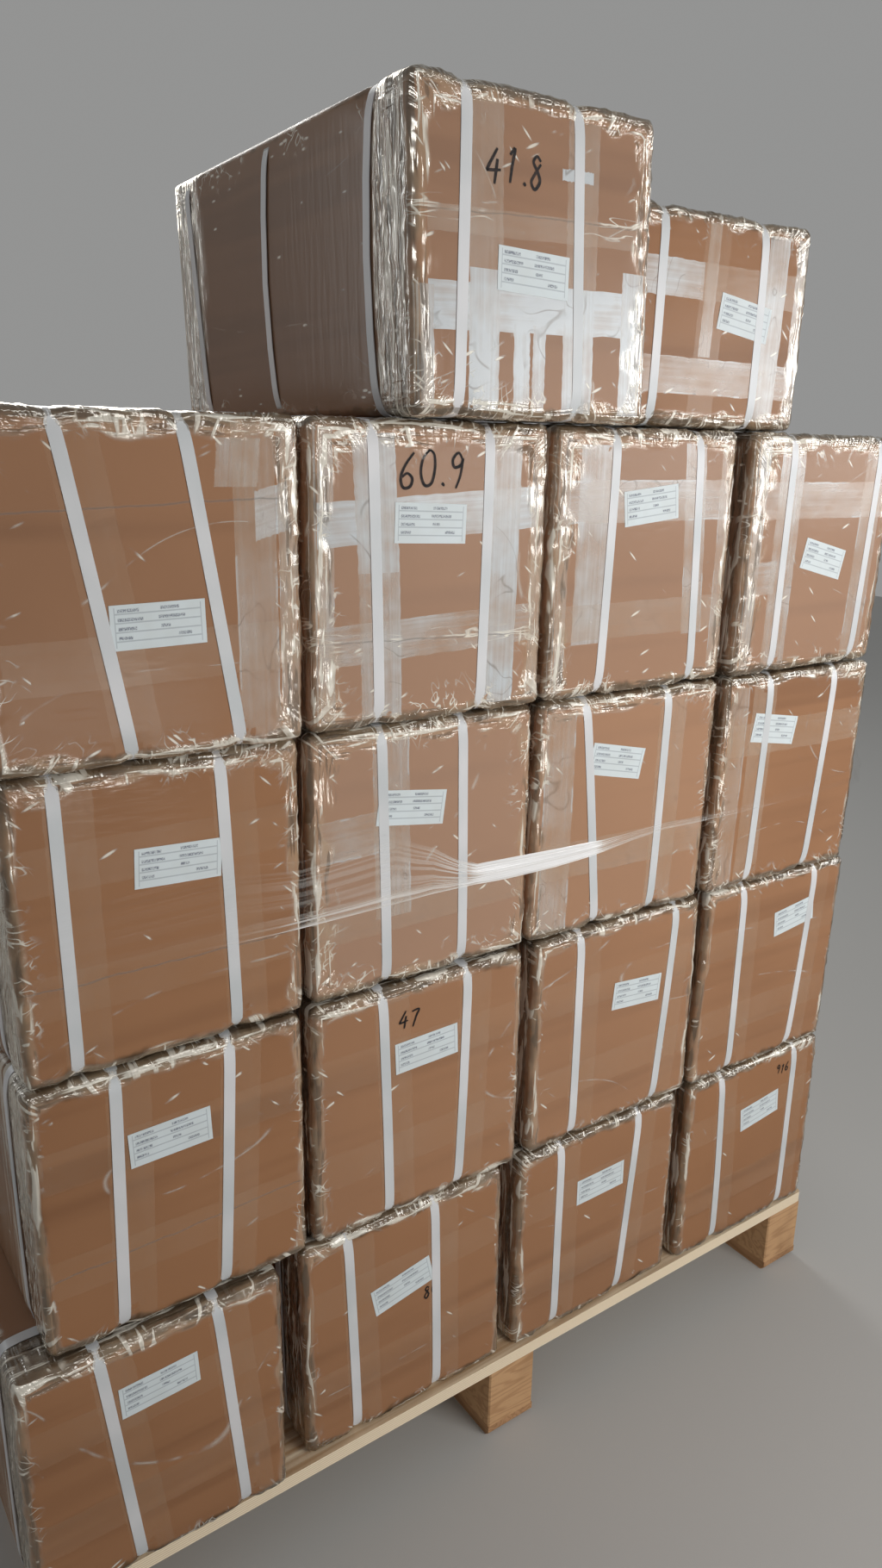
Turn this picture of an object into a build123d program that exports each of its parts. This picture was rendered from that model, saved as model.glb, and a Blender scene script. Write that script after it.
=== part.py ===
"""Strapped cartons stacked two deep and four high on a wooden pallet, with two more on top.

Units are millimetres. +Z is up and the front of the load faces -Y. The origin is the middle of
the pallet's footprint, on the floor.
"""
from build123d import *
from math import sqrt
import os

os.makedirs("parts", exist_ok=True)

# Pallet
deck_thickness = 18.0
deck_corner = 4.0
block_width = 75.0
block_depth = 95.0
block_height = 88.0
block_edge = 2.0
board_thickness = 16.0
board_width = 75.0
board_end = 6.0

# Cartons of the full layers
columns = 4
layers = 4
carton_width = 280.0
carton_depth = 540.0
carton_height = 290.0
carton_edge = 9.0
column_gap = 16.0
row_gap = 14.0
side_margin = 16.0
front_margin = 1.0
back_margin = 5.0

# Seams between the flaps on the carton ends
seam_width = 2.0
seam_depth = 1.2
seam_shares = (0.30, 0.71)

# The two cartons on top
tall_height = 279.0
tall_depth = 555.0
tall_x = -47.0
tall_set_back = -32.0
tall_lean = -8.0
low_height = 221.0
low_set_back = 3.0
low_lean = 3.0
top_gap = 6.0
top_turn = -1.4

# Straps: two lengthwise and three round the girth of every carton
strap_width = 12.0
strap_thickness = 0.8
wrap_thickness = 0.3
girth_from_end = 62.0

# Paper labels
label_width = 84.0
label_height = 38.0
label_thickness = wrap_thickness

# Loose film band wound once round the third layer
band_layer = 2
band_width = 62.0
band_thickness = 0.6
band_share = 0.50

# How the front cartons stand out of line, layer by layer from the bottom, left to right:
# slide of the foot along X, set-back along Y, turn in degrees, lean of the top along X
front_places = (
    ((-34, -7, -0.6, 0), (-12, 6, -0.1, -4), (-4, 3, -0.2, 0), (5, -2, -0.6, 0)),
    ((5, 4, 0.0, 0), (1, 3, -0.4, 0), (7, 3, -0.4, 0), (0, -2, -1.1, 9)),
    ((10, 6, 1.1, 0), (5, 9, -0.5, 0), (-6, 3, -1.6, 6), (-8, -8, -1.2, 8)),
    ((7, -9, -0.1, 0), (4, -1, 0.0, 0), (-4, -3, 0.2, 0), (-5, -11, 0.2, 8)),
)
back_slides = (-5, 3, -2, 4)

# Lengthwise straps of the front cartons: X of each strap's top and bottom end, from the
# carton's left side
front_straps = (
    (((80, 110), (205, 230)), ((57, 65), (177, 180)), ((67, 68), (207, 184)), ((64, 76), (225, 225))),
    (((83, 74), (199, 183)), ((85, 95), (199, 191)), ((70, 71), (236, 216)), ((67, 77), (217, 204))),
    (((44, 46), (197, 205)), ((83, 90), (184, 189)), ((65, 103), (196, 194)), ((79, 76), (208, 193))),
    (((67, 116), (172, 217)), ((67, 75), (204, 199)), ((86, 77), (215, 227)), ((70, 72), (246, 236))),
)
back_straps = ((75, 75), (205, 205))
tall_straps = ((57, 47), (183, 189))
low_straps = ((46, 44), (201, 203))

# Labels of the front cartons: X of the middle from the carton's left side, its height over the
# carton's foot, and its tilt in degrees
front_labels = (
    ((140, 221, 3), (130, 185, 11), (140, 201, 1), (154, 201, 6)),
    ((133, 203, 2), (143, 204, 2), (171, 182, -5), (180, 219, 7)),
    ((152, 190, -3), (120, 198, -8), (118, 208, -12), (94, 215, -9)),
    ((144, 118, 1), (133, 195, -2), (142, 209, 6), (150, 139, -13)),
)
tall_label = (132, 127, -2)
low_label = (177, 118, -8)

# Sizes and places that follow from those above
pallet_length = columns * carton_width + (columns - 1) * column_gap + 2 * side_margin
pallet_depth = 2 * carton_depth + row_gap + front_margin + back_margin
deck_top = board_thickness + block_height + deck_thickness
strap_build = wrap_thickness + 2 * strap_thickness
layer_pitch = carton_height + 2 * strap_build
column_pitch = carton_width + column_gap
stack_foot = deck_top + strap_build
stack_top = stack_foot + layers * layer_pitch
front_face = front_margin - pallet_depth / 2
back_face = pallet_depth / 2 - back_margin
block_pitch_x = (pallet_length - block_width) / 2
block_pitch_y = (pallet_depth - block_depth) / 2


def column_x(column):
    """Middle of a column of cartons."""
    return (column - (columns - 1) / 2) * column_pitch


def front_place(layer, column):
    """Foot of a front carton's outer face, at its middle."""
    slide, set_back, turn, _ = front_places[layer][column]
    foot = stack_foot + layer * layer_pitch
    return Location((column_x(column) + slide, front_face + set_back, foot), (0, 0, turn))


def back_place(layer, column):
    """Foot of a back carton's outer face, which looks the other way."""
    side = 1 if layer % 2 else -1
    foot = stack_foot + layer * layer_pitch
    return Location((column_x(column) + side * back_slides[column], back_face, foot), (0, 0, 180))


def front_lean(layer, column):
    """How far a front carton's top stands to the right of its foot."""
    return front_places[layer][column][3]


low_x = tall_x + carton_width + top_gap
tall_place = Location((tall_x, front_face + tall_set_back, stack_top), (0, 0, top_turn))
low_place = Location((low_x, front_face + low_set_back, stack_top), (0, 0, top_turn))


def flat_place(place):
    """The same place on the sketch's own plane."""
    spot = place.position
    return Location((spot.X, spot.Y), place.orientation.Z)


def corner_cut(lift):
    """Corner cut of a loop that runs at an even height over the carton's softened edge."""
    return carton_edge + (2 - sqrt(2)) * lift


def leaning_frame(height, lean, lift):
    """Corners of a carton's section across its length, grown by lift all round."""
    half = carton_width / 2 + lift
    low_shift = -lean * lift / height
    high_shift = lean * (height + lift) / height
    return (
        (low_shift - half, -lift),
        (low_shift + half, -lift),
        (high_shift + half, height + lift),
        (high_shift - half, height + lift),
    )


def make_carton(depth, height, lean=0.0, seam_ends=(0,)):
    """A carton with its outer face on the XZ plane, softened edges, and flap seams on its ends."""
    with BuildPart() as carton:
        with BuildSketch(Plane.XZ):
            with BuildLine():
                Polyline(*leaning_frame(height, lean, 0), close=True)
            make_face()
        extrude(amount=-depth)
        chamfer(carton.edges(), carton_edge)
        for end in seam_ends:
            for share in seam_shares:
                with Locations((share * lean, end * depth, share * height)):
                    Box(carton_width - 2 * carton_edge, 2 * seam_depth, seam_width, mode=Mode.SUBTRACT)
    return carton.part


def make_long_strap(ends, depth, height, lean=0.0):
    """A closed lengthwise loop. It may slant: its top and its bottom have their own X."""
    inner = wrap_thickness
    outer = wrap_thickness + strap_thickness
    top = ends[0] - carton_width / 2 + lean
    bottom = ends[1] - carton_width / 2
    slope = (top - bottom) / height
    low = bottom - slope * outer
    high = top + slope * outer
    half = strap_width / 2
    with BuildPart() as strap:
        with BuildSketch(Plane.YZ) as outside:
            with Locations((depth / 2, height / 2)):
                Rectangle(depth + 2 * outer, height + 2 * outer)
            chamfer(outside.vertices(), corner_cut(outer))
        extrude(amount=carton_width, both=True)
        with BuildSketch(Plane.YZ) as inside:
            with Locations((depth / 2, height / 2)):
                Rectangle(depth + 2 * inner, height + 2 * inner)
            chamfer(inside.vertices(), corner_cut(inner))
        extrude(amount=carton_width, both=True, mode=Mode.SUBTRACT)
        with BuildSketch(Plane.XZ.offset(outer)):
            with BuildLine():
                Polyline(
                    (low - half, -outer),
                    (low + half, -outer),
                    (high + half, height + outer),
                    (high - half, height + outer),
                    close=True,
                )
            make_face()
        extrude(amount=-(depth + 2 * outer), mode=Mode.INTERSECT)
    return strap.part


def make_girth_strap(distance, height, lean):
    """A closed loop round the carton's girth, over the lengthwise straps."""
    start = Plane.XZ.offset(strap_width / 2 - distance)
    with BuildPart() as strap:
        with BuildSketch(start) as outside:
            with BuildLine():
                Polyline(*leaning_frame(height, lean, strap_build), close=True)
            make_face()
            chamfer(outside.vertices(), corner_cut(strap_build))
        extrude(amount=-strap_width)
        with BuildSketch(start) as inside:
            with BuildLine():
                Polyline(*leaning_frame(height, lean, wrap_thickness + strap_thickness), close=True)
            make_face()
            chamfer(inside.vertices(), corner_cut(wrap_thickness + strap_thickness))
        extrude(amount=-strap_width, mode=Mode.SUBTRACT)
    return strap.part


def make_girth_set(depth, height, lean=0.0):
    """The three girth loops of one carton."""
    with BuildPart() as loops:
        for distance in (girth_from_end, depth / 2, depth - girth_from_end):
            add(make_girth_strap(distance, height, lean))
    return loops.part


def make_label(spot, height, lean=0.0):
    """A paper label lying on a carton's outer face, under the straps."""
    x, z, tilt = spot
    middle = x - carton_width / 2 + lean * z / height
    with BuildPart() as label:
        with BuildSketch(Plane.XZ):
            with Locations(Location((middle, z), tilt)):
                Rectangle(label_width, label_height)
        extrude(amount=label_thickness)
    return label.part


# Pallet deck
with BuildPart() as deck_panel:
    with BuildSketch(Plane.XY.offset(board_thickness + block_height)) as deck_outline:
        Rectangle(pallet_length, pallet_depth)
        chamfer(deck_outline.vertices(), deck_corner)
    extrude(amount=deck_thickness)
deck_panel.part.label = "deck_panel"
export_step(deck_panel.part, "parts/deck_panel.step")

# Blocks and bottom boards
for column_index, column_name in enumerate(("left", "middle", "right")):
    board_x = (column_index - 1) * block_pitch_x
    for row_index, row_name in enumerate(("front", "middle", "back")):
        with BuildPart() as block:
            with BuildSketch(Plane.XY.offset(board_thickness)):
                with Locations((board_x, (row_index - 1) * block_pitch_y)):
                    Rectangle(block_width, block_depth)
            extrude(amount=block_height)
            chamfer(block.edges().filter_by(Axis.Z), block_edge)
        block.part.label = f"block_{column_name}_{row_name}"
        export_step(block.part, f"parts/block_{column_name}_{row_name}.step")
    with BuildPart() as bottom_board:
        with BuildSketch(Plane.XY):
            with Locations((board_x, 0)):
                Rectangle(board_width, pallet_depth)
        extrude(amount=board_thickness)
        chamfer(bottom_board.edges().filter_by(Axis.X).group_by(Axis.Z)[0], board_end)
    bottom_board.part.label = f"bottom_board_{column_name}"
    export_step(bottom_board.part, f"parts/bottom_board_{column_name}.step")

# Shapes used over and over
plain_carton = make_carton(carton_depth, carton_height)
back_long_straps = [make_long_strap(ends, carton_depth, carton_height) for ends in back_straps]
plain_girth_set = make_girth_set(carton_depth, carton_height)

# The full layers
for layer in range(layers):
    with BuildPart() as cartons:
        for column in range(columns):
            with Locations(front_place(layer, column)):
                add(make_carton(carton_depth, carton_height, front_lean(layer, column)))
            with Locations(back_place(layer, column)):
                add(plain_carton)
    cartons.part.label = f"cartons_layer_{layer + 1}"
    export_step(cartons.part, f"parts/cartons_layer_{layer + 1}.step")

    with BuildPart() as long_straps:
        for column in range(columns):
            with Locations(front_place(layer, column)):
                for ends in front_straps[layer][column]:
                    add(make_long_strap(ends, carton_depth, carton_height, front_lean(layer, column)))
            with Locations(back_place(layer, column)):
                add(back_long_straps)
    long_straps.part.label = f"long_straps_layer_{layer + 1}"
    export_step(long_straps.part, f"parts/long_straps_layer_{layer + 1}.step")

    with BuildPart() as girth_straps:
        for column in range(columns):
            with Locations(front_place(layer, column)):
                add(make_girth_set(carton_depth, carton_height, front_lean(layer, column)))
            with Locations(back_place(layer, column)):
                add(plain_girth_set)
    girth_straps.part.label = f"girth_straps_layer_{layer + 1}"
    export_step(girth_straps.part, f"parts/girth_straps_layer_{layer + 1}.step")

    with BuildPart() as labels:
        for column in range(columns):
            with Locations(front_place(layer, column)):
                add(make_label(front_labels[layer][column], carton_height, front_lean(layer, column)))
    labels.part.label = f"labels_layer_{layer + 1}"
    export_step(labels.part, f"parts/labels_layer_{layer + 1}.step")

# The two cartons on top
with BuildPart() as top_carton_tall:
    with Locations(tall_place):
        add(make_carton(tall_depth, tall_height, tall_lean, seam_ends=(0, 1)))
top_carton_tall.part.label = "top_carton_tall"
export_step(top_carton_tall.part, "parts/top_carton_tall.step")

with BuildPart() as top_carton_low:
    with Locations(low_place):
        add(make_carton(carton_depth, low_height, low_lean, seam_ends=(0, 1)))
top_carton_low.part.label = "top_carton_low"
export_step(top_carton_low.part, "parts/top_carton_low.step")

with BuildPart() as long_straps_top:
    with Locations(tall_place):
        for ends in tall_straps:
            add(make_long_strap(ends, tall_depth, tall_height, tall_lean))
    with Locations(low_place):
        for ends in low_straps:
            add(make_long_strap(ends, carton_depth, low_height, low_lean))
long_straps_top.part.label = "long_straps_top"
export_step(long_straps_top.part, "parts/long_straps_top.step")

with BuildPart() as girth_straps_top:
    with Locations(tall_place):
        add(make_girth_set(tall_depth, tall_height, tall_lean))
    with Locations(low_place):
        add(make_girth_set(carton_depth, low_height, low_lean))
girth_straps_top.part.label = "girth_straps_top"
export_step(girth_straps_top.part, "parts/girth_straps_top.step")

with BuildPart() as labels_top:
    with Locations(tall_place):
        add(make_label(tall_label, tall_height, tall_lean))
    with Locations(low_place):
        add(make_label(low_label, low_height, low_lean))
labels_top.part.label = "labels_top"
export_step(labels_top.part, "parts/labels_top.step")

# Film band, stretched flat round one layer and its straps
band_foot = stack_foot + band_layer * layer_pitch + band_share * carton_height - band_width / 2
strapped_width = carton_width + 2 * strap_build
strapped_depth = carton_depth + 2 * (wrap_thickness + strap_thickness)
with BuildPart() as stretch_film_band:
    with BuildSketch(Plane.XY.offset(band_foot)):
        for column in range(columns):
            lean = front_lean(band_layer, column)
            with Locations(flat_place(front_place(band_layer, column))):
                with Locations((lean / 2, carton_depth / 2)):
                    Rectangle(strapped_width + abs(lean), strapped_depth)
            with Locations(flat_place(back_place(band_layer, column))):
                with Locations((0, carton_depth / 2)):
                    Rectangle(strapped_width, strapped_depth)
        make_hull()
    extrude(amount=band_width)
    rims = stretch_film_band.faces().filter_by(Axis.Z)
    offset(amount=band_thickness, openings=rims)
stretch_film_band.part.label = "stretch_film_band"
export_step(stretch_film_band.part, "parts/stretch_film_band.step")
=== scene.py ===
"""Dresses a pallet load of strapped, film-wrapped cartons: board, film, tape, straps, labels and wood."""
import math
import random
from collections import namedtuple
from functools import cache, partial, reduce

import bmesh
import bpy
from mathutils import Matrix, Vector, noise


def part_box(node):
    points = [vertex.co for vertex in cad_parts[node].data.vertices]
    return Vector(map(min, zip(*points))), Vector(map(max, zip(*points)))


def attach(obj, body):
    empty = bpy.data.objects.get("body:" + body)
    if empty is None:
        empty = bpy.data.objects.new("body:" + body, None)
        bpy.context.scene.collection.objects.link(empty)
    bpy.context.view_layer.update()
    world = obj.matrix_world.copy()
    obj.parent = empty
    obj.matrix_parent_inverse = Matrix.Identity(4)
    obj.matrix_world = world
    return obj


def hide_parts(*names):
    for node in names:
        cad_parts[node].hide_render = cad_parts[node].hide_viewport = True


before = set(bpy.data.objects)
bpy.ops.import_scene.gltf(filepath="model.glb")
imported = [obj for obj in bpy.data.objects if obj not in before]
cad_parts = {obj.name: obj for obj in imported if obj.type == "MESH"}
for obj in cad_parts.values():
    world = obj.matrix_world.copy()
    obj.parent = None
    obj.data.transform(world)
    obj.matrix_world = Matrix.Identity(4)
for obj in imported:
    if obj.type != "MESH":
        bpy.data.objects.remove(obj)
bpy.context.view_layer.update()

bl_info = {
    "name": "Strapped carton load",
    "version": (1, 0, 0),
    "blender": (4, 5, 0),
    "location": "View3D > Sidebar > Load",
    "description": "Cartons in clear film, with straps, tape, labels and a wooden pallet",
    "category": "Object",
}

MM = 0.001
NOISE_SEED = 5

# The load's own sizes, in millimetres, as in the solids
WIDTH = 280.0
DEPTH = 540.0
HEIGHT = 290.0
EDGE = 9.0
STRAP = 12.0
STRAP_THICK = 0.8
WRAP = 0.3
STRAP_BUILD = WRAP + 2 * STRAP_THICK
PITCH_X = 296.0
PITCH_Z = HEIGHT + 2 * STRAP_BUILD
FOOT = 122.0 + STRAP_BUILD
TOP = FOOT + 4 * PITCH_Z
FRONT = -549.0
BACK = 545.0
GIRTH_END = 62.0
TOP_TURN = -1.4

# Thin pieces: how far they lie off the board, and their thickness
FILM_LIFT = 0.4
TAPE_LIFT = 0.10
TAPE_STEP = 0.03
TAPE_THICK = 0.02
LABEL_LIFT = 0.55
LABEL_THICK = 0.15
INK_LIFT = 0.62
INK_THICK = 0.05
STRAP_LIFT = WRAP + 0.55

# How far the belly, the bites of straps and the wear reach; BITE_AREA is such a reach squared
SWELL_SIZE = 190
BELLY_FADE = 30
BITE_WIDTH = 10
BITE_AREA = 260
WORN_EDGE = 9
WORN_CORNER = 16

# Cuts across a carton away from its outer end, how much wider they are spaced on a back carton,
# and cuts across a strap near its bends
WIDE_STEP = 45
BACK_COARSER = 2.2
RING_CUTS = (15, 21, 28, 37)

# How near to a strap the film lies flat, and how far from it the ridges are free again
STRAP_HOLD = (6, 16)

# The distance given where a carton has no seam
NO_SEAM = 300.0

# slide, set-back, turn and lean of the front cartons, from the bottom layer up
FRONT_PLACES = (
    ((-34, -7, -0.6, 0), (-12, 6, -0.1, -4), (-4, 3, -0.2, 0), (5, -2, -0.6, 0)),
    ((5, 4, 0.0, 0), (1, 3, -0.4, 0), (7, 3, -0.4, 0), (0, -2, -1.1, 9)),
    ((10, 6, 1.1, 0), (5, 9, -0.5, 0), (-6, 3, -1.6, 6), (-8, -8, -1.2, 8)),
    ((7, -9, -0.1, 0), (4, -1, 0.0, 0), (-4, -3, 0.2, 0), (-5, -11, 0.2, 8)),
)
BACK_SLIDES = (-5, 3, -2, 4)

# top and bottom X of each lengthwise strap, from the carton's left side
FRONT_STRAPS = (
    (((80, 110), (205, 230)), ((57, 65), (177, 180)), ((67, 68), (207, 184)), ((64, 76), (225, 225))),
    (((83, 74), (199, 183)), ((85, 95), (199, 191)), ((70, 71), (236, 216)), ((67, 77), (217, 204))),
    (((44, 46), (197, 205)), ((83, 90), (184, 189)), ((65, 103), (196, 194)), ((79, 76), (208, 193))),
    (((67, 116), (172, 217)), ((67, 75), (204, 199)), ((86, 77), (215, 227)), ((70, 72), (246, 236))),
)
BACK_STRAPS = ((75, 75), (205, 205))

# middle X, height and tilt of each label
FRONT_LABELS = (
    ((140, 221, 3), (130, 185, 11), (140, 201, 1), (154, 201, 6)),
    ((133, 203, 2), (143, 204, 2), (171, 182, -5), (180, 219, 7)),
    ((152, 190, -3), (120, 198, -8), (118, 208, -12), (94, 215, -9)),
    ((144, 118, 1), (133, 195, -2), (142, 209, 6), (150, 139, -13)),
)
LABEL = (84.0, 38.0)

Carton = namedtuple(
    "Carton",
    "place depth height lean straps label tapes front seed slack wrap tint seam bright",
    defaults=(None, None),
)

# how far the gathered film reaches in from the left, right, top and bottom edges
WRAPS = (
    ((7, 8, 15, 7), (8, 8, 12, 8), (8, 8, 11, 8), (7, 7, 8, 7)),
    ((7, 9, 14, 7), (10, 9, 13, 9), (10, 11, 13, 8), (9, 9, 11, 7)),
    ((8, 18, 20, 9), (26, 19, 25, 15), (14, 12, 20, 11), (16, 13, 16, 9)),
    ((8, 26, 22, 11), (30, 32, 28, 16), (29, 19, 20, 14), (36, 20, 22, 14)),
)

# paler board on some front cartons: mostly painted sheen where the light falls most, on the middle cartons
# of the upper layers, partly the board's own variation
TINTS_AND_SHEEN = (
    (0.0, 0.10, 0.15, 0.0),
    (0.0, 0.30, 0.40, 0.20),
    (0.05, 0.90, 0.85, 0.20),
    (0.22, 0.80, 0.60, 0.60),
)

# height of the film's seam across some front cartons, at the left and right
SEAMS = {(3, 0): (210, 222), (3, 1): (86, 79), (2, 0): (96, 92), (1, 0): (88, 96)}

# how far back the painted silvery reflection reaches on the left side of some front cartons
BRIGHT_SIDES = {(0, 0): 110, (1, 0): 120}


def column_x(column):
    return (column - 1.5) * PITCH_X


def across(left, right, width, start, end, tone):
    """A strip of tape across an end: its middle height at both sides, width, reach, and how pale its painted
    glare is.
    """
    return ("across", left, right, width, start, end, tone)


def upright(top, bottom, width, start, end, tone):
    """A strip of tape up an end: its middle X at the top and bottom, width, reach, and how pale its painted
    glare is.
    """
    return ("upright", top, bottom, width, start, end, tone)


# tape that shows on the end faces: layer and column, then the strips
TAPES = {
    (3, 0): (
        across(88, 92, 44, 6, 274, 0.06),
        across(205, 214, 42, 236, 268, 0.90),
        upright(223, 219, 40, 230, 270, 0.44),
        upright(80, 122, 44, 8, 282, 0.05),
        upright(236, 236, 40, 8, 282, 0.24),
        upright(268, 268, 20, 8, 282, 0.30),
    ),
    (3, 1): (
        upright(13, 13, 24, 8, 282, 0.50),
        across(195, 209, 41, 8, 268, 0.85),
        across(82, 91, 39, 8, 274, 0.45),
        upright(68, 74, 46, 150, 278, 0.66),
        upright(74, 78, 46, 8, 150, 0.46),
        upright(226, 222, 38, 8, 278, 0.66),
        upright(270, 270, 20, 8, 282, 0.30),
    ),
    (3, 2): (
        upright(12, 12, 20, 8, 282, 0.35),
        upright(57, 54, 44, 60, 272, 0.60),
        upright(209, 222, 34, 60, 276, 0.35),
        across(213, 214, 45, 20, 274, 0.32),
        across(84, 84, 40, 8, 274, 0.12),
        upright(266, 266, 24, 8, 282, 0.25),
    ),
    (3, 3): (
        upright(14, 14, 26, 8, 282, 0.62),
        across(212, 212, 44, 8, 274, 0.34),
        across(118, 120, 40, 8, 60, 0.50),
        upright(70, 72, 44, 8, 280, 0.42),
        upright(238, 232, 42, 8, 276, 0.26),
    ),
    (2, 1): (
        upright(94, 98, 44, 80, 276, 0.34),
        across(176, 178, 46, 10, 100, 0.26),
        across(84, 88, 44, 8, 272, 0.10),
    ),
    (2, 2): (
        upright(30, 34, 44, 8, 276, 0.28),
        across(96, 92, 44, 8, 272, 0.14),
        upright(206, 204, 44, 8, 276, 0.12),
    ),
    (2, 3): (
        upright(20, 22, 40, 8, 276, 0.22),
        upright(70, 70, 44, 8, 276, 0.12),
        across(206, 204, 44, 8, 272, 0.12),
    ),
}
TALL_TAPES = (
    across(93, 102, 41, 4, 276, 0.95),
    across(164, 172, 22, 4, 276, 0.13),
    upright(10, 10, 20, 6, 110, 0.60),
    upright(76, 75, 34, 6, 128, 0.92),
    upright(76, 76, 40, 128, 266, 0.20),
    upright(119, 119, 19, 6, 84, 0.95),
    upright(140, 139, 15, 6, 84, 0.80),
    upright(188, 188, 38, 6, 120, 0.88),
    upright(190, 190, 38, 120, 262, 0.16),
    across(216, 217, 10, 164, 202, 0.95),
    upright(260, 260, 34, 6, 140, 0.78),
)
LOW_TAPES = (
    across(152, 151, 38, 4, 108, 0.62),
    across(151, 150, 38, 108, 276, 0.12),
    across(54, 52, 38, 4, 276, 0.36),
    upright(121, 117, 18, 74, 210, 0.34),
    upright(126, 118, 40, 8, 210, 0.06),
    upright(226, 222, 34, 8, 208, 0.62),
    upright(268, 266, 20, 8, 208, 0.45),
)


def faint_tapes(straps):
    """The strips of a carton whose tape hardly shows."""
    strips = [upright(top + 12, bottom + 12, 44, 8, 278, 0.05) for top, bottom in straps]
    strips.append(across(206, 206, 44, 8, 272, 0.04))
    strips.append(across(87, 87, 44, 8, 272, 0.04))
    return tuple(strips)


def front_carton(layer, column):
    slide, set_back, turn, lean = FRONT_PLACES[layer][column]
    spot = (column_x(column) + slide, FRONT + set_back, FOOT + layer * PITCH_Z)
    straps = FRONT_STRAPS[layer][column]
    tapes = TAPES.get((layer, column), faint_tapes(straps))
    label = FRONT_LABELS[layer][column]
    seed = 10 * layer + column + 1
    wrap, tint = WRAPS[layer][column], TINTS_AND_SHEEN[layer][column]
    seam = SEAMS.get((layer, column))
    bright = BRIGHT_SIDES.get((layer, column))
    shape = ((spot, turn), DEPTH, HEIGHT, lean)
    return Carton(*shape, straps, label, tapes, True, seed, None, wrap, tint, seam, bright)


def back_carton(layer, column):
    side = 1 if layer % 2 else -1
    spot = (column_x(column) + side * BACK_SLIDES[column], BACK, FOOT + layer * PITCH_Z)
    seed = 10 * layer + column + 51
    tapes = faint_tapes(BACK_STRAPS)
    wrap, tint = WRAPS[layer][3 - column], random.Random(seed).random() * 0.6
    return Carton((spot, 180), DEPTH, HEIGHT, 0, BACK_STRAPS, None, tapes, False, seed, None, wrap, tint)


def layer_cartons(layer):
    return [front_carton(layer, c) for c in range(4)] + [back_carton(layer, c) for c in range(4)]


# how far each girth strap strays along the tall carton's left side, at its top, middle and bottom
TALL_SLACK = ((4, 16, 4), (6, 20, 5), (17, 3, -14))
TALL = Carton(
    ((-47.0, FRONT - 32, TOP), TOP_TURN), 555.0, 279.0, -8, ((57, 47), (183, 189)),
    (132, 129, -2), TALL_TAPES, True, 91, TALL_SLACK, (17, 28, 22, 17), 0.25, (170, 181), 44,
)
LOW = Carton(
    ((239.0, FRONT + 3, TOP), TOP_TURN), DEPTH, 221.0, 3, ((46, 44), (201, 203)),
    (177, 118, -8), LOW_TAPES, True, 92, None, (12, 24, 15, 15), 0.05,
)


class LoadSizes(bpy.types.PropertyGroup):
    """Sizes of the softened, pressed and wrinkled surfaces"""

    round_edge: bpy.props.FloatProperty(
        name="Carton edge", description="Radius of a carton's softened edge", default=0.008, unit="LENGTH"
    )
    belly: bpy.props.FloatProperty(
        name="Belly", description="How far a carton's end stands out", default=0.0022, unit="LENGTH"
    )
    strap_bite: bpy.props.FloatProperty(
        name="Strap bite", description="How far a strap presses into an edge", default=0.0035, unit="LENGTH"
    )
    ridge: bpy.props.FloatProperty(
        name="Film ridge", description="Height of the film's gathers", default=0.0022, unit="LENGTH"
    )
    mesh_step: bpy.props.FloatProperty(
        name="Mesh step", description="Mesh spacing at a front carton's end", default=0.006, unit="LENGTH"
    )


class LoadColours(bpy.types.PropertyGroup):
    """Colours of the load's finishes"""

    board: bpy.props.FloatVectorProperty(
        name="Board", description="Kraft board", subtype="COLOR", default=(0.345, 0.172, 0.086)
    )
    board_shade: bpy.props.FloatVectorProperty(
        name="Board shade", description="Darker bands", subtype="COLOR", default=(0.262, 0.127, 0.063)
    )
    # painted shade: the board's colour along its rounded edges
    rim: bpy.props.FloatVectorProperty(
        name="Rim", description="Board under folded film", subtype="COLOR", default=(0.085, 0.053, 0.029)
    )
    # the colour of the painted highlights on the film's creases
    film: bpy.props.FloatVectorProperty(
        name="Film", description="Creased clear film", subtype="COLOR", default=(0.86, 0.82, 0.72)
    )
    strap: bpy.props.FloatVectorProperty(
        name="Strap", description="Plastic strap", subtype="COLOR", default=(0.59, 0.62, 0.64)
    )
    label: bpy.props.FloatVectorProperty(
        name="Label", description="Label paper", subtype="COLOR", default=(0.70, 0.77, 0.80)
    )
    pine: bpy.props.FloatVectorProperty(
        name="Pine", description="Block and board wood", subtype="COLOR", default=(0.60, 0.36, 0.185)
    )
    plywood: bpy.props.FloatVectorProperty(
        name="Plywood", description="Deck wood", subtype="COLOR", default=(0.96, 0.83, 0.62)
    )


class LoadStage(bpy.types.PropertyGroup):
    """Camera and light"""

    lens: bpy.props.FloatProperty(name="Lens", description="Focal length in millimetres", default=25.09)
    key: bpy.props.FloatProperty(name="Key light", description="Power of the main light", default=15.5)
    window: bpy.props.FloatProperty(
        name="Window light", description="Power of the low light that the tape mirrors", default=60.0
    )
    glint: bpy.props.FloatProperty(
        name="Glint light", description="Power of the narrow high lights that the film mirrors", default=20.0
    )
    back: bpy.props.FloatProperty(
        name="Back light", description="Power of the light behind the load", default=60.0
    )
    sky: bpy.props.FloatProperty(name="Sky", description="Strength of the light all round", default=0.35)


def sizes():
    return bpy.context.scene.load_sizes


def colours():
    return bpy.context.scene.load_colours


# Materials


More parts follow.
